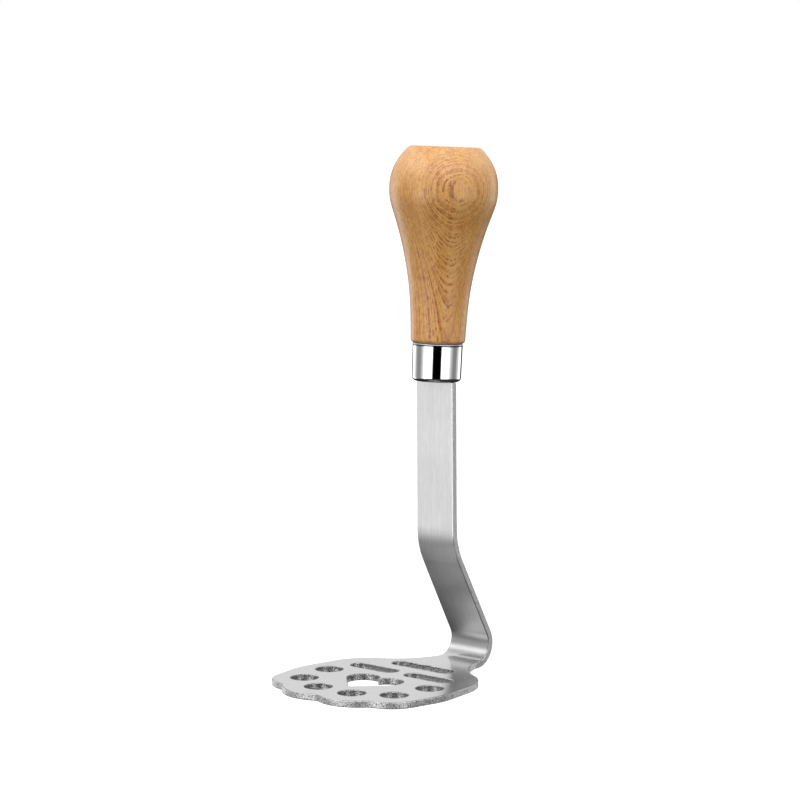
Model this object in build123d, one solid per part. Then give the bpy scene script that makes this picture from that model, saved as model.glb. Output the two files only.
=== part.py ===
"""Small hand masher: a perforated plate and its strap in one bent blank, a ferrule and a turned handle.

Millimetres. +Z is up, X runs across the plate and the plate reaches out towards -Y. The pieces are
first drawn with the front face of the upright strap on Y = 0 and the underside of the plate on Z = 0.
At the end they all shift along Y together, so that the origin is at the middle of the footprint.
"""
from build123d import *
from math import asin, cos, degrees, radians, sin, sqrt, tan
import os

# Sheet blank: plate, neck, strap and tang are one piece
SHEET = 1.9
EDGE_ROUND = 0.25
STRAP_WIDTH = 13.4
SLANT_WIDTH = 13.9
SLANT_TOP_Z = 27.0
NECK_WIDTH = 14.2
NECK_STRAIGHT = 1.0
NECK_FLARE = 20.0
NECK_FLARE_RADIUS = 5.0
STRAP_LEAN = 0.57
SLANT_ANGLE = 29.28
UPPER_CORNER_Z = 36.2
UPPER_BEND_RADIUS = 20.0
LOWER_BEND_RADIUS = 5.8
TANG_WIDTH = 8.0
TANG_LENGTH = 36.0
TANG_BEND_RADIUS = 40.0

# Plate outline: rounded sides from three circles each, and two scallops at the tip
EAR_CENTRE = (10.9, -16.6)
EAR_RADIUS = 14.6
SIDE_CENTRE = (5.4, -27.3)
SIDE_RADIUS = 21.7
CORNER_CENTRE = (16.6, -37.4)
CORNER_RADIUS = 8.75
TIP_LOBE_CENTRE = (6.25, -39.4)
TIP_LOBE_RADIUS = 12.2
NECK_RADIUS = 20.0
TIP_NOTCH_RADIUS = 3.2
SIDE_NOTCH_RADIUS = 2.0

# Openings in the plate, on the right-hand side of the mirror plane
HOLE_DIAMETER = 7.8
HOLE_CENTRES = [(18.7, -24.2), (16.7, -36.8), (6.2, -42.5)]
SLOT_WIDTH = 5.4
HEEL_SLOT_LENGTH = 22.2
HEEL_SLOT_Y = -4.9
SIDE_SLOT_LENGTH = 16.6
SIDE_SLOT_CENTRE = (10.1, -14.5)
HEART_LOBE_CENTRE = (4.4, -25.8)
HEART_LOBE_RADIUS = 4.6
HEART_POINT_Y = -37.1
HEART_POINT_ROUND = 0.8

# Ferrule: a drawn cup whose floor is slotted for the tang
RAKE = 3.25
FERRULE_Z = 83.5
FERRULE_HEIGHT = 10.77
FERRULE_WALL = 0.5
FERRULE_FLOOR_RADIUS = 6.95
FERRULE_RIM_RADIUS = 7.1
FERRULE_CORNER = 1.25
BEAD_HEIGHT = 0.55
BEAD_SWELL = 0.17
TANG_CLEARANCE = 0.15

# Handle: turned beech with a tenon for the ferrule and a blind bore for the tang
HANDLE_TOP = 66.05
TOP_RADIUS = 9.8
BULGE_RADIUS = 15.35
BULGE_Z = 54.6
TAPER = [(8.4, 23.3), (10.39, 35.2), (13.26, 45.3), (14.9, 50.3)]
FOOT_DIRECTION = (0.05, 1)
FOOT_RADIUS = 7.68
FOOT_ROUND = 1.1
TOP_ROUND = 0.35
TENON_GAP = 0.05
BORE_RADIUS = 4.5
BORE_DEPTH = 39.0

TOUCH = 0.01  # two lengths this close count as the same
BEYOND = 200.0  # longer than the whole tool


def both_sides(shape):
    """The shape with its mirror image across the middle of the part."""
    return shape + mirror(shape, about=Plane.YZ)


def disc(centre, radius):
    """A circle whose seam faces the middle of the part."""
    return Pos(*centre) * Rot(0, 0, 180) * Circle(radius)


def plate_outline():
    """Plan of the plate and its neck, up to where the sheet starts to bend."""
    circles = [
        disc(EAR_CENTRE, EAR_RADIUS),
        disc(SIDE_CENTRE, SIDE_RADIUS),
        disc(CORNER_CENTRE, CORNER_RADIUS),
    ]
    side = make_hull([circle.edge() for circle in circles])
    outline = both_sides(side + disc(TIP_LOBE_CENTRE, TIP_LOBE_RADIUS) + neck_half())
    return round_outline(outline)


def neck_half():
    """Right-hand half of the neck, which flares towards the plate."""
    top, foot, edge = bend_start_y(), EAR_CENTRE[1], NECK_WIDTH / 2
    knee = (edge, top - NECK_STRAIGHT)
    flared_edge = edge + (knee[1] - foot) * tan(radians(NECK_FLARE))
    corners = [(0, foot), (flared_edge, foot), knee, (edge, top), (0, top)]
    half = make_face(Polyline(*corners, close=True))
    return fillet(vertex_at(half, *knee), NECK_FLARE_RADIUS)


def round_outline(outline):
    """Rounds the inner corners beside the neck, in the middle of the tip and on each side of it."""
    on_ears = corners_on(outline, EAR_CENTRE, EAR_RADIUS)
    beside_neck = sorted(on_ears, key=lambda corner: abs(corner.X))[:2]
    outline = fillet(beside_neck, NECK_RADIUS)
    on_tip = corners_on(outline, TIP_LOBE_CENTRE, TIP_LOBE_RADIUS)
    middle = [corner for corner in on_tip if abs(corner.X) < TOUCH]
    outline = fillet(middle, TIP_NOTCH_RADIUS)
    on_tip = corners_on(outline, TIP_LOBE_CENTRE, TIP_LOBE_RADIUS)
    beside_tip = [corner for corner in on_tip if abs(corner.X) > TIP_LOBE_CENTRE[0]]
    return fillet(beside_tip, SIDE_NOTCH_RADIUS)


def corners_on(outline, centre, radius):
    """Corners of the outline that lie on a circle or on its mirror image."""
    x, y = centre
    found = []
    for corner in outline.vertices():
        reach = sqrt((abs(corner.X) - x) ** 2 + (corner.Y - y) ** 2)
        if abs(reach - radius) < TOUCH:
            found.append(corner)
    return found


def heart():
    """Two round lobes and the straight sides that run from them to the point."""
    x, y = HEART_LOBE_CENTRE
    height = y - HEART_POINT_Y
    reach = sqrt(x ** 2 + height ** 2)
    side = sqrt(reach ** 2 - HEART_LOBE_RADIUS ** 2)
    to_lobe = Vector(x, height).normalized()
    spread = asin(HEART_LOBE_RADIUS / reach)
    touch = to_lobe.rotate(Axis.Z, -degrees(spread)) * side
    corners = [(0, HEART_POINT_Y), (touch.X, HEART_POINT_Y + touch.Y), (x, y), (0, y)]
    half = make_face(Polyline(*corners, close=True)) + disc(HEART_LOBE_CENTRE, HEART_LOBE_RADIUS)
    shape = both_sides(half)
    point = shape.vertices().sort_by(Axis.Y)[0]
    return fillet(point, HEART_POINT_ROUND)


def plate_openings():
    holes = [disc(centre, HOLE_DIAMETER / 2) for centre in HOLE_CENTRES]
    slot = Pos(*SIDE_SLOT_CENTRE) * SlotOverall(SIDE_SLOT_LENGTH, SLOT_WIDTH)
    heel_slot = Pos(0, HEEL_SLOT_Y) * SlotOverall(HEEL_SLOT_LENGTH, SLOT_WIDTH)
    return [both_sides(shape) for shape in holes + [slot]] + [heel_slot, heart()]


def ferrule_y():
    """Y of the strap's centre line where it reaches the ferrule."""
    return SHEET / 2 - (FERRULE_Z - UPPER_CORNER_Z) * tan(radians(STRAP_LEAN))


def strap_corners():
    """Corners of the strap's centre line in the YZ plane, from the plate to the end of the tang."""
    middle = SHEET / 2
    heel_y = middle + (UPPER_CORNER_Z - middle) * tan(radians(SLANT_ANGLE))
    tang_y = ferrule_y() + TANG_LENGTH * sin(radians(RAKE))
    tang_z = FERRULE_Z + TANG_LENGTH * cos(radians(RAKE))
    return [
        (0, middle),
        (heel_y, middle),
        (middle, UPPER_CORNER_Z),
        (ferrule_y(), FERRULE_Z),
        (tang_y, tang_z),
    ]


def bend_start_y():
    """Y where the flat neck runs into the lower bend."""
    heel_y = strap_corners()[1][0]
    turn = 90 + SLANT_ANGLE
    return heel_y - LOWER_BEND_RADIUS * tan(radians(turn / 2))


def strap():
    """The bent strap: it narrows from the neck to the upper bend, and to the tang inside the ferrule."""
    radii = [LOWER_BEND_RADIUS, UPPER_BEND_RADIUS, TANG_BEND_RADIUS]
    path = FilletPolyline(*strap_corners(), radius=radii)
    bent_sheet = extrude(Plane.YZ * trace(path, SHEET), NECK_WIDTH / 2, both=True)
    front = extrude(strap_front(), BEYOND, both=True)
    return bent_sheet & (front - shoulders())


def strap_front():
    """Front view of the strap and tang, in the XZ plane."""
    upright_foot = 2 * UPPER_CORNER_Z - SLANT_TOP_Z
    corners = [
        (0, 0),
        (NECK_WIDTH / 2, 0),
        (NECK_WIDTH / 2, SHEET),
        (SLANT_WIDTH / 2, SLANT_TOP_Z),
        (STRAP_WIDTH / 2, upright_foot),
        (STRAP_WIDTH / 2, BEYOND),
        (0, BEYOND),
    ]
    return both_sides(Plane.XZ * make_face(Polyline(*corners, close=True)))


def shoulders():
    """What is cut away beside the tang, above the underside of the ferrule."""
    beside = Box(BEYOND, BEYOND, BEYOND, align=(Align.MIN, Align.CENTER, Align.MIN))
    return both_sides(handle_frame() * Pos(TANG_WIDTH / 2, 0, 0) * beside)


def blade():
    plate = extrude(plate_outline(), SHEET)
    part = plate + strap()
    for opening in plate_openings():
        part -= extrude(opening, 2 * SHEET, both=True)
    return fillet(rim_edges(part), EDGE_ROUND)


def rim_edges(part):
    """Edges where the flat of the sheet meets its cut edge, up to the bend under the ferrule."""
    edges = [edge for edge in part.edges() if edge.center().Z < FERRULE_Z - SHEET]
    return [edge for edge in edges if not (is_bend_line(edge) or is_through(edge))]


def is_bend_line(edge):
    """True for a line across the neck or strap, where a bend starts or ends."""
    crosswise = edge.geom_type == GeomType.LINE and abs((edge % 0).X) > 1 - TOUCH
    return crosswise and edge.center().Y > 0


def is_through(edge):
    """True for a line from one face of the sheet to the other."""
    return edge.geom_type == GeomType.LINE and abs(edge.length - SHEET) < TOUCH


def handle_frame():
    """Frame of the ferrule and handle: on the ferrule's underside, leaning back by the rake."""
    return Pos(0, ferrule_y(), FERRULE_Z) * Rot(-RAKE, 0, 0)


def ferrule():
    """Cup with a rounded bottom corner and a bead round its rim."""
    bead_z = FERRULE_HEIGHT - BEAD_HEIGHT
    bead_foot = FERRULE_RIM_RADIUS - BEAD_SWELL
    inner_rim = FERRULE_RIM_RADIUS - FERRULE_WALL
    inner_floor = FERRULE_FLOOR_RADIUS - FERRULE_WALL
    wall = Polyline((0, 0), (FERRULE_FLOOR_RADIUS, 0), (FERRULE_RIM_RADIUS, bead_z), (bead_foot, bead_z))
    bead_middle = (FERRULE_RIM_RADIUS, bead_z + BEAD_HEIGHT / 2)
    bead = ThreePointArc((bead_foot, bead_z), bead_middle, (bead_foot, FERRULE_HEIGHT))
    inside = Polyline(
        (bead_foot, FERRULE_HEIGHT),
        (inner_rim, FERRULE_HEIGHT),
        (inner_floor, FERRULE_WALL),
        (0, FERRULE_WALL),
        (0, 0),
    )
    face = make_face(wall + bead + inside)
    face = fillet(vertex_at(face, FERRULE_FLOOR_RADIUS, 0), FERRULE_CORNER)
    face = fillet(vertex_at(face, inner_floor, FERRULE_WALL), FERRULE_CORNER - FERRULE_WALL)
    slot = Box(TANG_WIDTH + 2 * TANG_CLEARANCE, SHEET + 2 * TANG_CLEARANCE, 2 * FERRULE_CORNER)
    return turned(face) - slot


def handle():
    """Turned body with a tenon that fills the ferrule and a blind bore for the tang."""
    bore_top = FERRULE_WALL + BORE_DEPTH
    tenon_rim = FERRULE_RIM_RADIUS - FERRULE_WALL - TENON_GAP
    tenon_end = FERRULE_FLOOR_RADIUS - FERRULE_WALL - TENON_GAP
    foot = (FOOT_RADIUS, FERRULE_HEIGHT)
    bulge = (BULGE_RADIUS, BULGE_Z)
    top = (TOP_RADIUS, HANDLE_TOP)
    tenon = Polyline(
        (0, bore_top),
        (BORE_RADIUS, bore_top),
        (BORE_RADIUS, FERRULE_WALL),
        (tenon_end, FERRULE_WALL),
        (tenon_rim, FERRULE_HEIGHT),
        foot,
    )
    taper = Spline(foot, *TAPER, bulge, tangents=[FOOT_DIRECTION, (0, 1)])
    dome = TangentArc(bulge, top, tangent=(0, 1))
    crown = Polyline(top, (0, HANDLE_TOP), (0, bore_top))
    face = make_face(tenon + taper + dome + crown)
    face = fillet(vertex_at(face, *foot), FOOT_ROUND)
    face = fillet(vertex_at(face, *top), TOP_ROUND)
    face = fillet(vertex_at(face, tenon_end, FERRULE_WALL), FERRULE_CORNER - FERRULE_WALL)
    return turned(face)


def tang_adhesive(tang):
    """Cured adhesive that fills the bore round the tang."""
    bore = Cylinder(BORE_RADIUS, BORE_DEPTH, align=(Align.CENTER, Align.CENTER, Align.MIN))
    return handle_frame() * Pos(0, 0, FERRULE_WALL) * bore - tang


def vertex_at(face, x, y):
    return face.vertices().sort_by_distance((x, y, 0))[0]


def turned(face):
    """Solid of revolution from a face drawn with the radius along X and the height along Y."""
    return revolve(Plane.XZ * face, Axis.Z)


def main():
    metal = blade()
    pieces = {
        "blade": metal,
        "ferrule": handle_frame() * ferrule(),
        "handle": handle_frame() * handle(),
        "tang_adhesive": tang_adhesive(metal),
    }
    boxes = [piece.bounding_box() for piece in pieces.values()]
    footprint_middle = (min(box.min.Y for box in boxes) + max(box.max.Y for box in boxes)) / 2
    os.makedirs("parts", exist_ok=True)
    for name, piece in pieces.items():
        export_step(Pos(0, -footprint_middle, 0) * piece, f"parts/{name}.step")


main()
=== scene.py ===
"""Looks for the small hand masher: brushed stainless blade, chrome ferrule and lacquered beech handle."""

import math

import bpy
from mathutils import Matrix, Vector


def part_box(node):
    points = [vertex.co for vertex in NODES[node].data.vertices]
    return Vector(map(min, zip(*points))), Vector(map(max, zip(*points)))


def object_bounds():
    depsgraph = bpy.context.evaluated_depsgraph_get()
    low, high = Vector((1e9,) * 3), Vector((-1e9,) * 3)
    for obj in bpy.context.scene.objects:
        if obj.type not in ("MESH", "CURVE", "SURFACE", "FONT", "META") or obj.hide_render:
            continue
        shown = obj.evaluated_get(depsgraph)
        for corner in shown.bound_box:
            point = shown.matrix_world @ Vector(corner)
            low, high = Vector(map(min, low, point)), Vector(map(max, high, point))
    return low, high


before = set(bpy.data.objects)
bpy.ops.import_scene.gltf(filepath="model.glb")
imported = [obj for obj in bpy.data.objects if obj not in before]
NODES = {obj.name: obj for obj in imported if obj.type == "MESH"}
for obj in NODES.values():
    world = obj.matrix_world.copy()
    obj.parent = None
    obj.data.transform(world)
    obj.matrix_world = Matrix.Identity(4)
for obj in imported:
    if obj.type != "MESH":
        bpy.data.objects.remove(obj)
CAD_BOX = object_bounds()
MM = 0.001

# Sizes shared with the CAD
RAKE = math.radians(3.25)
SHEET = 1.9 * MM
CAD_ORIGIN_Y = 16.338 * MM  # where the CAD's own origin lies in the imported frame

# The plate is cut all round as far back as the lower bend, and its rim stays under RIM_TOP_Z
LOWER_BEND_DEPTH = 6.0 * MM
PLATE_END_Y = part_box("blade")[1].y - LOWER_BEND_DEPTH
RIM_TOP_Z = 1.02 * SHEET

# An oval on the plate that holds its openings but not its rim: half sizes and middle
OPENINGS_REACH = (24.6 * MM, 24.0 * MM)
OPENINGS_MIDDLE_Y = CAD_ORIGIN_Y - 25.0 * MM

# The handle's widest point, and heights along the handle's axis from there in millimetres
HANDLE_LOW, HANDLE_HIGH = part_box("handle")
BULGE_BELOW_TOP = 12.0 * MM
BULGE = Vector((0, (HANDLE_LOW.y + HANDLE_HIGH.y) / 2, HANDLE_HIGH.z - BULGE_BELOW_TOP))
BULGE_RADIUS_MM = (HANDLE_HIGH.x - HANDLE_LOW.x) / 2 / MM
BEAD_FOOT_UP = -44.38
FERRULE_FLOOR_UP = -54.6

# Camera
CAMERA_AZIMUTH = math.radians(40.301)
CAMERA_DISTANCE = 0.85362
CAMERA_HEIGHT = 0.190
CAMERA_PITCH = math.radians(7.467)
CAMERA_YAW = math.radians(0.668)
CAMERA_LENS = 137.06
CAMERA_SENSOR = 36.0


# ---------------------------------------------------------------- node helpers
MIX_A, MIX_B, MIX_RESULT = 6, 7, 2  # the colour sockets of a Mix node


class Graph:
    """A node tree with short calls for what the materials need."""

    def __init__(self, tree):
        self.tree = tree

    def node(self, kind, **settings):
        made = self.tree.nodes.new(kind)
        for key, value in settings.items():
            setattr(made, key, value)
        return made

    def plug(self, socket, value):
        """Links a socket, or sets the value of its own."""
        if isinstance(value, bpy.types.NodeSocket):
            self.tree.links.new(value, socket)
        else:
            socket.default_value = value

    def math(self, operation, *values, clamp=False):
        made = self.node("ShaderNodeMath", operation=operation, use_clamp=clamp)
        for socket, value in zip(made.inputs, values):
            self.plug(socket, value)
        return made.outputs[0]

    def add(self, a, b):
        return self.math("ADD", a, b)

    def subtract(self, a, b):
        return self.math("SUBTRACT", a, b)

    def multiply(self, a, b):
        return self.math("MULTIPLY", a, b)

    def size(self, a):
        return self.math("ABSOLUTE", a)

    def swing(self, noise, reach):
        """A noise as a shift either way: its distance from the middle, times the reach."""
        return self.multiply(self.subtract(noise, 0.5), reach)

    def length(self, vector):
        made = self.node("ShaderNodeVectorMath", operation="LENGTH")
        self.plug(made.inputs[0], vector)
        return made.outputs["Value"]

    def split(self, vector):
        made = self.node("ShaderNodeSeparateXYZ")
        self.plug(made.inputs[0], vector)
        return made.outputs

    def join(self, x, y, z):
        made = self.node("ShaderNodeCombineXYZ")
        for socket, value in zip(made.inputs, (x, y, z)):
            self.plug(socket, value)
        return made.outputs[0]

    def squeeze(self, parts, factors):
        """A place from its parts, each times its factor: noise is drawn out along the squeezed axes."""
        return self.join(*(a if by == 1 else self.multiply(a, by) for a, by in zip(parts, factors)))

    def noise(self, vector, settings):
        """Noise from its (scale, detail, roughness)."""
        made = self.node("ShaderNodeTexNoise")
        self.plug(made.inputs["Vector"], vector)
        for name, value in zip(("Scale", "Detail", "Roughness"), settings):
            made.inputs[name].default_value = value
        return made.outputs[0]

    def remap(self, value, low, high, to_low, to_high, kind):
        made = self.node("ShaderNodeMapRange", interpolation_type=kind)
        for socket, number in zip(made.inputs, (value, low, high, to_low, to_high)):
            self.plug(socket, number)
        return made.outputs[0]

    def smooth(self, value, low, high, to_low=0.0, to_high=1.0):
        """From to_low at low to to_high at high, with soft ends; low may be the larger one."""
        return self.remap(value, low, high, to_low, to_high, "SMOOTHSTEP")

    def linear(self, value, low, high, to_low=0.0, to_high=1.0):
        return self.remap(value, low, high, to_low, to_high, "LINEAR")

    def pick(self, mask, a, b):
        """The number a where the mask is 0, and b where it is 1."""
        return self.linear(mask, 0.0, 1.0, a, b)

    def ramp(self, value, stops):
        made = self.node("ShaderNodeValToRGB")
        ramp = made.color_ramp
        while len(ramp.elements) < len(stops):
            ramp.elements.new(0.5)
        for element, (place, colour) in zip(ramp.elements, stops):
            element.position = place
            element.color = grey(colour)
        self.plug(made.inputs[0], value)
        return made.outputs[0]

    def mix(self, factor, a, b):
        """The colour a where the factor is 0, and b where it is 1."""
        made = self.node("ShaderNodeMix", data_type="RGBA")
        self.plug(made.inputs[0], factor)
        self.plug(made.inputs[MIX_A], grey(a))
        self.plug(made.inputs[MIX_B], grey(b))
        return made.outputs[MIX_RESULT]

    def bump(self, height, strength, distance, normal=None):
        made = self.node("ShaderNodeBump")
        made.inputs["Strength"].default_value = strength
        made.inputs["Distance"].default_value = distance
        self.plug(made.inputs["Height"], height)
        if normal is not None:
            self.plug(made.inputs["Normal"], normal)
        return made.outputs[0]


def grey(colour):
    """A colour as four numbers; one number is a grey, and a socket stays as it is."""
    if isinstance(colour, bpy.types.NodeSocket):
        return colour
    if isinstance(colour, (int, float)):
        return (colour, colour, colour, 1.0)
    return (*colour, 1.0)


def material(name, build):
    """A node material whose colour, roughness and normal come from build(graph, shader)."""
    made = bpy.data.materials.new(name)
    made.use_nodes = True
    tree = made.node_tree
    tree.nodes.clear()
    graph = Graph(tree)
    shader = graph.node("ShaderNodeBsdfPrincipled")
    output = graph.node("ShaderNodeOutputMaterial")
    tree.links.new(shader.outputs[0], output.inputs[0])
    build(graph, shader)
    return made


def handle_frame(g):
    """Object coordinates in millimetres from the widest point of the handle, with Z along its axis."""
    coords = g.node("ShaderNodeTexCoord").outputs["Object"]
    local = g.node("ShaderNodeMapping", vector_type="TEXTURE")
    local.inputs["Location"].default_value = BULGE
    local.inputs["Rotation"].default_value = (-RAKE, 0, 0)
    local.inputs["Scale"].default_value = (MM, MM, MM)
    g.plug(local.inputs["Vector"], coords)
    return local.outputs[0]


# ---------------------------------------------------------------- beech
GRAIN_AZIMUTH = math.radians(56.5)

# Growth rings on the flat-sawn side: depth under the widest point in millimetres, and how dark they are
RINGS = (
    (0.35, 0.35), (1.1, 0.85), (1.8, 1.0), (2.7, 0.7), (3.4, 0.5),
    (4.15, 0.8), (5.4, 0.5), (5.85, 0.7), (6.45, 0.65), (6.95, 0.6),
)
RING_FADE_IN = 0.20
RING_FADE_OUT = 0.06
RINGED_DEPTH = 7.5
YEARS_PER_MM = 0.9  # rings below RINGED_DEPTH
FINE_LINES_PER_MM = 3.1

# How far the rings wander and bow, in millimetres and in millimetres per square millimetre
SWAY_REACH = 0.40
FLUTTER_REACH = 0.07
RING_BOW = 0.004

# The figure is strongest a little to one side, and has a small brown fleck beside its middle (millimetres)
HEAVY_SIDE = 4.0
FLECK_SIDE, FLECK_UP = 2.2, 1.0
FLECK_SQUEEZE = (1.7, 0.8, 1)
FLECK_RAGGED = 2.2
FLECK_EDGE_NOISE = (1.6, 2.0, 0.6)

# Noises: squeeze along the handle, then scale, detail and roughness; other noises have only the last three
BEECH_NOISES = {
    "sway": (0.35, 0.22, 2.0, 0.5),
    "flutter": (0.5, 1.3, 2.0, 0.55),
    "breaks": (0.6, 0.95, 3.0, 0.65),
    "fine_grain": (0.09, 4.6, 3.0, 0.65),
    "pores": (0.25, 3.4, 2.0, 0.6),
    "tone": (0.25, 0.35, 3.0, 0.55),
}

BEECH_DEEP = (0.590, 0.293, 0.073)
BEECH_PALE = (0.680, 0.376, 0.112)
FINE_GRAIN_BROWN = (0.450, 0.195, 0.052)
PORE_BROWN = (0.350, 0.112, 0.022)
LATE_WOOD_BROWN = (0.290, 0.072, 0.014)
FLECK_BROWN = (0.250, 0.095, 0.024)


def beech_noise(g, name, out, side, up):
    """One of the noises above, drawn out along the last of the three axes."""
    squeeze, *settings = BEECH_NOISES[name]
    return g.noise(g.squeeze((out, side, up), (1, 1, squeeze)), settings)


def ring_stops():
    """Stops of a ramp over RINGED_DEPTH that rises slowly to each ring and drops off sharply after it."""
    stops = []
    for depth, dark in RINGS:
        stops += [(depth - RING_FADE_IN, 0.0), (depth, dark), (depth + RING_FADE_OUT, 0.0)]
    return [(place / RINGED_DEPTH, dark) for place, dark in stops]


def ring_depth(g, out, side, up):
    """Depth under the flat-sawn face, in millimetres, wandering a little."""
    depth = g.subtract(BULGE_RADIUS_MM, out)
    depth = g.subtract(depth, g.multiply(g.multiply(side, side), RING_BOW))
    depth = g.add(depth, g.swing(beech_noise(g, "sway", out, side, up), SWAY_REACH))
    return g.add(depth, g.swing(beech_noise(g, "flutter", out, side, up), FLUTTER_REACH))


def growth_marks(g, depth, side, up):
    """Thin dark late-wood lines at the end of each year with fine lines between, broken into dashes."""
    near = g.ramp(g.math("DIVIDE", depth, RINGED_DEPTH), ring_stops())
    years = g.math("FRACT", g.multiply(depth, YEARS_PER_MM))
    far = g.multiply(g.smooth(years, 0.70, 0.93, 0.0, 0.8), g.smooth(years, 1.0, 0.955))
    far = g.multiply(far, g.math("GREATER_THAN", depth, RINGED_DEPTH))
    fine_lines = g.math("FRACT", g.multiply(depth, FINE_LINES_PER_MM))
    fine = g.multiply(g.smooth(fine_lines, 0.40, 0.80), g.smooth(fine_lines, 1.0, 0.88))

    dashes = g.smooth(beech_noise(g, "breaks", depth, side, up), 0.46, 0.60)
    rings = g.multiply(g.math("MAXIMUM", near, far), g.pick(dashes, 0.5, 1.0))
    fine = g.multiply(fine, g.pick(dashes, 0.08, 0.85))
    heavy = g.smooth(g.size(g.add(side, HEAVY_SIDE)), 7.0, 0.5, 0.85, 1.4)
    return g.math("MULTIPLY", g.math("MAXIMUM", rings, fine), heavy, clamp=True)


def brown_fleck(g, place):
    """A mask for the fleck, on the flat-sawn side only."""
    out, side, up = g.split(place)
    from_middle = g.squeeze((g.add(side, FLECK_SIDE), g.add(up, FLECK_UP), 0.0), FLECK_SQUEEZE)
    ragged = g.swing(g.noise(place, FLECK_EDGE_NOISE), FLECK_RAGGED)
    fleck = g.smooth(g.add(g.length(from_middle), ragged), 1.5, 0.9)
    return g.multiply(fleck, g.math("GREATER_THAN", out, 0.0))


def build_beech(g, shader):
    """Flat-sawn beech: nearly flat growth rings stacked towards GRAIN_AZIMUTH, and pores along the handle."""
    turn = g.node("ShaderNodeVectorRotate", rotation_type="Z_AXIS")
    turn.inputs["Angle"].default_value = math.radians(90) - GRAIN_AZIMUTH
    g.plug(turn.inputs["Vector"], handle_frame(g))
    place = turn.outputs[0]
    out, side, up = g.split(place)

    marks = growth_marks(g, ring_depth(g, out, side, up), side, up)
    fine_grain = beech_noise(g, "fine_grain", out, side, up)
    pores = g.smooth(beech_noise(g, "pores", out, side, up), 0.55, 0.66)
    tone = beech_noise(g, "tone", out, side, up)

    base = g.mix(g.smooth(tone, 0.30, 0.70), BEECH_DEEP, BEECH_PALE)
    base = g.mix(g.smooth(fine_grain, 0.40, 0.64, 0.0, 0.5), base, FINE_GRAIN_BROWN)
    base = g.mix(g.multiply(pores, 0.55), base, PORE_BROWN)
    base = g.mix(g.multiply(marks, 0.95), base, LATE_WOOD_BROWN)
    base = g.mix(g.multiply(brown_fleck(g, place), 0.7), base, FLECK_BROWN)
    g.plug(shader.inputs["Base Color"], base)

    g.plug(shader.inputs["Roughness"], g.linear(fine_grain, 0.3, 0.7, 0.40, 0.52))
    hollow = g.add(g.multiply(marks, 0.6), g.multiply(pores, 0.7))
    relief = g.subtract(g.multiply(fine_grain, 0.4), hollow)
    g.plug(shader.inputs["Normal"], g.bump(relief, 0.25, 0.04 * MM))
    shader.inputs["Coat Weight"].default_value = 0.65
    shader.inputs["Coat Roughness"].default_value = 0.34
    shader.inputs["IOR"].default_value = 1.45


# ---------------------------------------------------------------- chrome
CHROME_HAZE = (0.42, 3.0, 0.6)
CHROME_TURNING = (9.0, 2.0, 0.6)
CHROME_CLEAR = (0.93, 0.935, 0.945)
CHROME_HAZY = (0.88, 0.885, 0.9)
# Painted reflection and shade: the bead is painted bluish as a painted reflection, and the groove under it
# and the ferrule's underside are painted dark as painted shade
BEAD_PAINTED_REFLECTION_BLUE = (0.40, 0.46, 0.55)
GROOVE_PAINTED_SHADE = (0.08, 0.11, 0.18)
UNDERSIDE_PAINTED_SHADE = (0.22, 0.22, 0.23)


def build_chrome(g, shader):
    """Polished chrome with faint turning marks and haze, a bluish painted reflection on the bead, and painted
    shade in the groove and on the underside.
    """
    place = handle_frame(g)
    x, y, up = g.split(place)
    haze = g.noise(place, CHROME_HAZE)
    turning = g.noise(g.squeeze((x, y, up), (0.05, 0.05, 1)), CHROME_TURNING)
    bead = g.smooth(up, BEAD_FOOT_UP - 0.02, BEAD_FOOT_UP + 0.05)
    groove = g.smooth(g.size(g.subtract(up, BEAD_FOOT_UP)), 0.28, 0.08)
    underside = g.smooth(up, FERRULE_FLOOR_UP + 0.75, FERRULE_FLOOR_UP + 0.45)

    base = g.mix(g.smooth(haze, 0.35, 0.7), CHROME_CLEAR, CHROME_HAZY)
    # Painted reflection on the bead, then painted shade in the groove and on the underside
    base = g.mix(g.multiply(bead, 0.9), base, BEAD_PAINTED_REFLECTION_BLUE)
    base = g.mix(g.multiply(groove, 0.85), base, GROOVE_PAINTED_SHADE)
    base = g.mix(underside, base, UNDERSIDE_PAINTED_SHADE)
    g.plug(shader.inputs["Base Color"], base)

    shader.inputs["Metallic"].default_value = 1.0
    rough = g.linear(haze, 0.3, 0.7, 0.035, 0.07)
    g.plug(shader.inputs["Roughness"], g.add(rough, g.multiply(bead, 0.2)))
    g.plug(shader.inputs["Normal"], g.bump(turning, 0.02, 0.01 * MM))


# ---------------------------------------------------------------- steel
# Noises: squeeze along the strap, then scale, detail and roughness
STEEL_NOISES = {
    "grain": (0.05, 5200.0, 3.0, 0.65),
    "streak": (0.04, 2300.0, 2.0, 0.5),
    "cloud": (1, 90.0, 2.0, 0.5),
    "grit": (1, 3300.0, 2.0, 0.7),
    "speck": (1, 2100.0, 1.0, 0.5),
}

# The tone of the metal: darker and brighter side of the brushing, or of the grit where it was cut. The parts
# of the blade are painted lighter or darker as painted light and shade for this studio, where a real sheet
# would
# have one finish: painted light on the upright, painted shade on the slant and lower bend, painted shading on
# the flat faces, a painted highlight on the upright's rounded edges and painted shade on the slant's, painted
# light on the strap's cut sides and painted shade on the walls of the openings
UPRIGHT_PAINTED_LIGHT_TONES = (0.84, 0.93)
SLANT_PAINTED_SHADE_TONES = (0.37, 0.44)
FLAT_PAINTED_SHADING_TONES = (0.60, 0.67)
LOWER_BEND_PAINTED_SHADE_TONE = 0.36
CLOUD_TONE = 0.60
# Painted shade on the slant's rounded edges and a painted highlight on the upright's
SLANT_EDGE_PAINTED_SHADE_TONE, UPRIGHT_EDGE_PAINTED_HIGHLIGHT_TONE = 0.16, 1.0
RIM_TONES = (0.34, 0.82)
SPECK_TONE = 0.15
# Painted light: the strap's cut sides are painted brighter than the rim
STRAP_SIDE_PAINTED_LIGHT_TONE = 0.95
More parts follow.
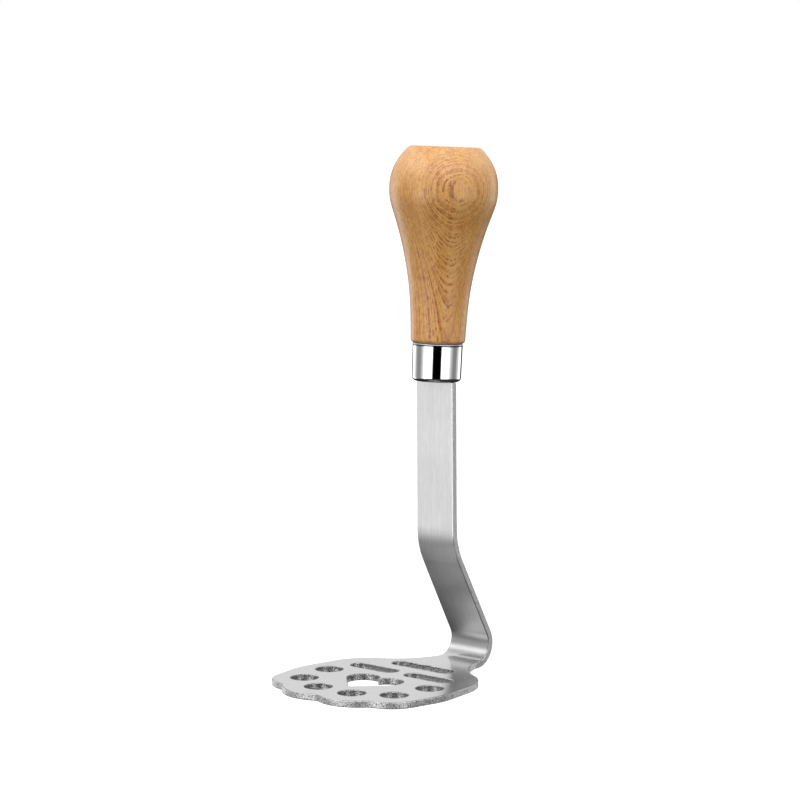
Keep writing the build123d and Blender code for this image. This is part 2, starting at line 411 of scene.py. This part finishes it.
# Painted shade: the walls of the openings are painted darker than the rim
OPENING_PAINTED_SHADE_TONES = (0.10, 0.66)

# Roughness, likewise
UPRIGHT_ROUGH = (0.46, 0.54)
SLANT_ROUGH = (0.40, 0.48)
FLAT_ROUGH = (0.14, 0.20)
RIM_ROUGH = (0.28, 0.44)
EDGE_ROUGH = 0.25
OPENING_ROUGH = 0.30

# Heights over which the lower bend's tone passes into the slant's, and the slant's into the upright's
SLANT_FROM = (5.0 * MM, 13.0 * MM)
UPRIGHT_FROM = (32.0 * MM, 41.0 * MM)


def steel_noise(g, name, place):
    """One of the noises above, drawn out along Y and Z."""
    squeeze, *settings = STEEL_NOISES[name]
    if squeeze != 1:
        place = g.squeeze(g.split(place), (1, squeeze, squeeze))
    return g.noise(place, settings)


def blade_regions(g, place, normal):
    """Masks for the parts of the blade whose look differs."""
    x, y, z = g.split(place)
    facing_x, _, facing_z = g.split(normal)
    sideways, level = g.size(facing_x), g.size(facing_z)

    # Cut faces look sideways on the strap, and any way but up or down round the plate
    on_strap = g.smooth(sideways, 0.75, 0.90)
    on_plate = g.multiply(g.math("LESS_THAN", z, RIM_TOP_Z), g.math("LESS_THAN", y, PLATE_END_Y))
    cut = g.math("MAXIMUM", on_strap, g.multiply(g.smooth(level, 0.75, 0.55), on_plate))

    from_middle = g.subtract(y, OPENINGS_MIDDLE_Y)
    reach_x, reach_y = OPENINGS_REACH
    oval = g.join(g.math("DIVIDE", x, reach_x), g.math("DIVIDE", from_middle, reach_y), 0.0)
    return {
        "cut": cut,
        "edge": g.multiply(g.smooth(sideways, 0.06, 0.2), g.subtract(1.0, cut)),  # rounded edges
        "flat": g.smooth(level, 0.7, 0.95),  # faces that look up or down
        "strap": g.math("GREATER_THAN", z, RIM_TOP_Z),
        "slant": g.smooth(z, *SLANT_FROM),  # above the lower bend
        "upright": g.smooth(z, *UPRIGHT_FROM),  # above the upper bend
        "opening": g.multiply(g.smooth(g.length(oval), 1.05, 1.0), on_plate),
    }


def brushed_tone_with_painted_light_and_shade(g, place, lines, region):
    """Tone of the rolled faces and their rounded edges, with painted light and shade: each part of the blade
    is painted lighter or darker, and the rounded edges carry a painted highlight on the upright and painted
    shade on the slant.
    """
    # Painted light on the upright, painted shade on the slant and lower bend, painted shading on the flat
    # faces
    upright = g.mix(g.smooth(lines, 0.40, 0.60), *UPRIGHT_PAINTED_LIGHT_TONES)
    slant = g.mix(g.smooth(lines, 0.36, 0.64), *SLANT_PAINTED_SHADE_TONES)
    flat = g.mix(g.smooth(lines, 0.36, 0.64), *FLAT_PAINTED_SHADING_TONES)
    tone = g.mix(region["upright"], g.mix(region["slant"], LOWER_BEND_PAINTED_SHADE_TONE, slant), upright)
    cloud = steel_noise(g, "cloud", place)
    tone = g.mix(g.smooth(cloud, 0.35, 0.65, 0.0, 0.12), tone, CLOUD_TONE)
    tone = g.mix(region["flat"], tone, flat)
    # Painted highlight on the upright's rounded edges, painted shade on the slant's
    return g.mix(region["edge"], tone, g.mix(region["upright"], SLANT_EDGE_PAINTED_SHADE_TONE, UPRIGHT_EDGE_PAINTED_HIGHLIGHT_TONE))


def cut_tone_with_painted_light_and_shade(g, grit, speck, region):
    """Tone of the cut faces: the rim, the sides of the strap painted lighter as painted light, and the walls
    of the openings painted darker as painted shade.
    """
    tone = g.mix(g.smooth(grit, 0.40, 0.60), *RIM_TONES)
    tone = g.mix(g.smooth(speck, 0.58, 0.68), tone, SPECK_TONE)
    # Painted light on the strap's cut sides
    tone = g.mix(g.multiply(region["strap"], 0.45), tone, STRAP_SIDE_PAINTED_LIGHT_TONE)
    # Painted shade on the walls of the openings
    return g.mix(region["opening"], tone, g.mix(g.smooth(grit, 0.42, 0.58), *OPENING_PAINTED_SHADE_TONES))


def steel_roughness(g, lines, grit, region):
    upright, slant, flat = (
        g.linear(lines, 0.3, 0.7, *rough) for rough in (UPRIGHT_ROUGH, SLANT_ROUGH, FLAT_ROUGH)
    )
    rolled = g.pick(region["flat"], g.pick(region["upright"], slant, upright), flat)
    rolled = g.pick(region["edge"], rolled, EDGE_ROUGH)
    torn = g.pick(region["opening"], g.linear(grit, 0.3, 0.7, *RIM_ROUGH), OPENING_ROUGH)
    return g.pick(region["cut"], rolled, torn)


def build_steel(g, shader):
    """Stainless sheet brushed along the strap, with a coarse grainy face where it was cut."""
    texture = g.node("ShaderNodeTexCoord")
    place = texture.outputs["Object"]
    region = blade_regions(g, place, texture.outputs["Normal"])
    grain, streak = steel_noise(g, "grain", place), steel_noise(g, "streak", place)
    lines = g.add(g.multiply(grain, 0.7), g.multiply(streak, 0.3))
    grit, speck = steel_noise(g, "grit", place), steel_noise(g, "speck", place)

    rolled, torn = brushed_tone_with_painted_light_and_shade(g, place, lines, region), cut_tone_with_painted_light_and_shade(g, grit, speck, region)
    g.plug(shader.inputs["Base Color"], g.mix(region["cut"], rolled, torn))
    g.plug(shader.inputs["Roughness"], steel_roughness(g, lines, grit, region))
    shader.inputs["Metallic"].default_value = 1.0
    shader.inputs["Anisotropic"].default_value = 0.75
    g.plug(shader.inputs["Tangent"], g.join(1.0, 0.0, 0.0))

    scratches = g.bump(g.multiply(lines, g.subtract(1.0, region["cut"])), 0.06, 0.01 * MM)
    pit_depth = g.multiply(region["cut"], g.pick(region["strap"], 0.7, 0.3))
    pits = g.multiply(g.add(grit, g.multiply(speck, 0.5)), pit_depth)
    g.plug(shader.inputs["Normal"], g.bump(pits, 0.6, 0.12 * MM, scratches))


# ---------------------------------------------------------------- adhesive and floor
RESIN_CLOUD = (350.0, 3.0, 0.6)
RESIN_BUBBLES = (1400.0, 1.0, 0.5)
RESIN_DEEP = (0.42, 0.30, 0.14)
RESIN_PALE = (0.58, 0.46, 0.26)
BUBBLE_PALE = (0.70, 0.62, 0.45)
FLOOR_CLOUD = (3.0, 2.0, 0.5)
FLOOR_TONES = (0.28, 0.30)
FLOOR_GLOW_TONES = (0.99, 1.0)


def build_adhesive(g, shader):
    """Cured amber resin with fine bubbles."""
    coords = g.node("ShaderNodeTexCoord").outputs["Object"]
    cloud = g.noise(coords, RESIN_CLOUD)
    bubbles = g.smooth(g.noise(coords, RESIN_BUBBLES), 0.62, 0.72)
    base = g.mix(g.smooth(cloud, 0.35, 0.65), RESIN_DEEP, RESIN_PALE)
    g.plug(shader.inputs["Base Color"], g.mix(bubbles, base, BUBBLE_PALE))
    g.plug(shader.inputs["Roughness"], g.linear(cloud, 0.3, 0.7, 0.35, 0.6))
    g.plug(shader.inputs["Normal"], g.bump(bubbles, 0.3, 0.1 * MM))


def build_floor(g, shader):
    """Plain white studio floor, lit from below like a light table."""
    cloud = g.noise(g.node("ShaderNodeTexCoord").outputs["Object"], FLOOR_CLOUD)
    g.plug(shader.inputs["Base Color"], g.mix(cloud, *FLOOR_TONES))
    g.plug(shader.inputs["Emission Color"], g.mix(cloud, *FLOOR_GLOW_TONES))
    shader.inputs["Emission Strength"].default_value = 0.85
    shader.inputs["Roughness"].default_value = 0.9
    shader.inputs["Specular IOR Level"].default_value = 0.0


FINISHES = (
    ("handle", "beech", build_beech),
    ("ferrule", "chrome", build_chrome),
    ("blade", "stainless_sheet", build_steel),
    ("tang_adhesive", "adhesive", build_adhesive),
)
for node, slot, build in FINISHES:
    piece = NODES[node]
    piece.data.materials.clear()
    piece.data.materials.append(material(slot, build))


# ---------------------------------------------------------------- floor, light and camera
FLOOR_RADIUS = 3.0
FLOOR_SIDES = 96
FLOOR_GAP = 0.02 * MM


def make_floor():
    """A round floor just under the plate. Reflections and soft light see the studio instead of it."""
    turns = [2 * math.pi * i / FLOOR_SIDES for i in range(FLOOR_SIDES)]
    rim = [(FLOOR_RADIUS * math.cos(a), FLOOR_RADIUS * math.sin(a), 0) for a in turns]
    mesh = bpy.data.meshes.new("floor")
    mesh.from_pydata(rim, [], [list(range(FLOOR_SIDES))])
    mesh.materials.append(material("floor", build_floor))
    floor = bpy.data.objects.new("floor", mesh)
    floor.location.z = CAD_BOX[0].z - FLOOR_GAP
    bpy.context.scene.collection.objects.link(floor)
    floor.visible_glossy = False
    floor.visible_diffuse = False
    floor.visible_shadow = False


# Brightness of the walls round the horizon, against degrees from the camera's own direction
AROUND = (
    (-180, 0.05), (-151, 0.05), (-144, 2.2), (-132, 2.2), (-121, 0.8), (-104, 0.27),
    (-84, 0.27), (-68, 0.8), (-58, 2.2), (-25, 2.2), (-19.5, 0.0), (18.0, 0.0),
    (21, 1.8), (50, 1.8), (64, 0.7), (80, 0.24), (100, 0.24), (114, 0.7),
    (124, 1.8), (137, 1.8), (143, 0.05), (180, 0.05),
)

# Bands above and below the walls: degrees up where each starts and is full, and its brightness
WHITE_BAND = (3.0, 9.0, 0.94)
UPPER_PANELS = (25.0, 34.0)
CEILING_BANDS = ((48.0, 60.0, 0.9), (64.0, 78.0, 1.4))
GROUND_BAND = (-12.0, -23.0, 0.03)
LOWEST_BAND = (-58.0, -80.0, 0.25)

# On the left, in degrees from the camera's direction: the middle of the upper panel, and the middle of a card
# that brings the walls CARD_DROP lower
LEFT_PANEL = 85
LEFT_CARD = 95
CARD_DROP = 8.0


def studio_walls(g, ray):
    """Soft white and grey panels, with brighter panels above them in front and on the left."""
    x, y, z = g.split(ray)
    azimuth = g.math("ARCTAN2", x, g.multiply(y, -1.0))
    wrapped = g.math("WRAP", g.subtract(azimuth, CAMERA_AZIMUTH), math.pi, -math.pi)
    walls = g.ramp(g.linear(wrapped, -math.pi, math.pi), [((a + 180) / 360, v) for a, v in AROUND])
    degrees = g.multiply(g.math("ARCSINE", z), 180 / math.pi)
    front = g.smooth(g.size(wrapped), math.radians(135), math.radians(100), 1.0, 2.4)
    from_panel = g.size(g.add(wrapped, math.radians(LEFT_PANEL)))
    left = g.smooth(from_panel, 0.8, 0.3, 0.0, 1.4)
    from_card = g.size(g.add(wrapped, math.radians(LEFT_CARD)))
    card = g.smooth(from_card, 0.85, 0.6, 0.0, CARD_DROP)

    def band(studio, edges, height):
        start, full, brightness = edges
        return g.mix(g.smooth(height, start, full), studio, brightness)

    lit = band(walls, WHITE_BAND, degrees)
    lit = g.mix(g.smooth(degrees, *UPPER_PANELS), lit, g.add(front, left))
    for edges in CEILING_BANDS:
        lit = band(lit, edges, degrees)
    lit = band(lit, GROUND_BAND, g.add(degrees, card))
    return band(lit, LOWEST_BAND, degrees)


def make_world():
    """The studio, which lights the object and shows in it. The camera itself sees plain white."""
    world = bpy.data.worlds.new("studio")
    world.use_nodes = True
    world.node_tree.nodes.clear()
    g = Graph(world.node_tree)
    studio = g.node("ShaderNodeBackground")
    g.plug(studio.inputs["Color"], studio_walls(g, g.node("ShaderNodeTexCoord").outputs["Generated"]))
    white = g.node("ShaderNodeBackground")
    white.inputs["Color"].default_value = grey(1.0)
    chosen = g.node("ShaderNodeMixShader")
    g.plug(chosen.inputs[0], g.node("ShaderNodeLightPath").outputs["Is Camera Ray"])
    g.plug(chosen.inputs[1], studio.outputs[0])
    g.plug(chosen.inputs[2], white.outputs[0])
    g.plug(g.node("ShaderNodeOutputWorld").inputs[0], chosen.outputs[0])
    bpy.context.scene.world = world


def make_light(name, elevation, distance, size, power):
    """A square soft light over the camera's side that aims at the middle of the object."""
    middle = (CAD_BOX[0] + CAD_BOX[1]) / 2
    a, e = CAMERA_AZIMUTH, math.radians(elevation)
    towards = Vector((math.sin(a) * math.cos(e), -math.cos(a) * math.cos(e), math.sin(e)))
    data = bpy.data.lights.new(name, "AREA")
    data.shape = "SQUARE"
    data.size = size
    data.energy = power
    lamp = bpy.data.objects.new(name, data)
    lamp.location = middle + towards * distance
    lamp.rotation_euler = (-towards).to_track_quat("-Z", "Y").to_euler()
    lamp.visible_camera = False
    bpy.context.scene.collection.objects.link(lamp)


def make_camera():
    data = bpy.data.cameras.new("camera")
    data.lens = CAMERA_LENS
    data.sensor_width = CAMERA_SENSOR
    camera = bpy.data.objects.new("camera", data)
    camera.location = (
        CAMERA_DISTANCE * math.sin(CAMERA_AZIMUTH),
        CAD_ORIGIN_Y - CAMERA_DISTANCE * math.cos(CAMERA_AZIMUTH),
        CAMERA_HEIGHT,
    )
    camera.rotation_euler = (math.radians(90) - CAMERA_PITCH, 0, CAMERA_AZIMUTH + CAMERA_YAW)
    bpy.context.scene.collection.objects.link(camera)
    bpy.context.scene.camera = camera


make_floor()
make_world()
make_light("top_softbox", elevation=78, distance=1.2, size=0.9, power=3.0)
make_camera()
bpy.context.scene.view_settings.view_transform = "Standard"
